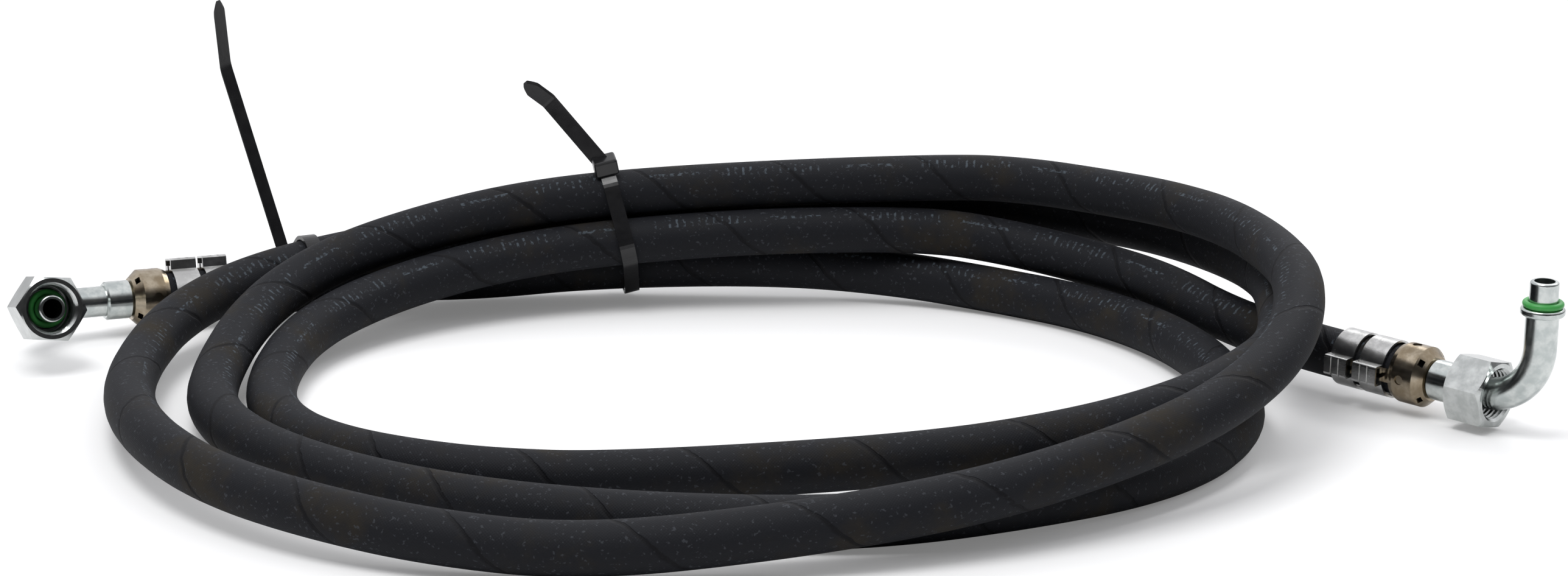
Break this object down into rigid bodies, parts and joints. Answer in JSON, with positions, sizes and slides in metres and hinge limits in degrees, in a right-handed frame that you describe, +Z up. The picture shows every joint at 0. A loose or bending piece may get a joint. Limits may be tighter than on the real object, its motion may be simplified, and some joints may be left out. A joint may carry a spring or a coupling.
{
  "type": "hose assembly",
  "caption": "Black rubber fluid hose laid in a coil, with a bent tube, swivel nut, cage and ear clips at each end, held by cable ties.",
  "frame": {"origin": "under the middle of the whole assembly, on the surface that the coil lies on", "axes": "+X along the longest side, from the left fitting to the right fitting; +Z up"},
  "size_m": [0.4562, 0.291, 0.1004],
  "materials": {
    "hose_rubber": "matt, dusty",
    "tie_nylon": "semi-gloss",
    "zinc_steel": "bright bluish zinc plate",
    "bronze_zinc_steel": "bronze to violet passivated zinc",
    "clip_steel": "satin",
    "seal_rubber": "semi-matt"
  },
  "bodies": {
    "hose_assembly": {"hose": "hose_rubber", "middle_cable_tie": "tie_nylon", "left_cable_tie": "tie_nylon", "left_elbow_tube": "zinc_steel", "left_nipple": "zinc_steel", "left_inner_stem_seal": "seal_rubber", "left_outer_stem_seal": "seal_rubber", "left_cage": "bronze_zinc_steel", "left_inner_clip": "clip_steel", "left_outer_clip": "clip_steel", "left_port_seal": "seal_rubber", "right_elbow_tube": "zinc_steel", "right_nipple": "zinc_steel", "right_inner_stem_seal": "seal_rubber", "right_outer_stem_seal": "seal_rubber", "right_cage": "bronze_zinc_steel", "right_inner_clip": "clip_steel", "right_outer_clip": "clip_steel", "right_port_seal": "seal_rubber"},
    "left_nut": {"left_swivel_nut": "zinc_steel"},
    "right_nut": {"right_swivel_nut": "zinc_steel"}
  },
  "joints": [
    {"name": "left_nut_spin", "type": "hinge", "parent": "hose_assembly", "child": "left_nut", "pos_m": [-0.21738, 0.04898, 0.01888], "axis": [0.4329, -0.8684, 0.2418], "continuous": true},
    {"name": "right_nut_spin", "type": "hinge", "parent": "hose_assembly", "child": "right_nut", "pos_m": [0.20711, -0.01027, 0.01124], "axis": [-0.7229, 0.6908, 0.0175], "continuous": true}
  ]
}
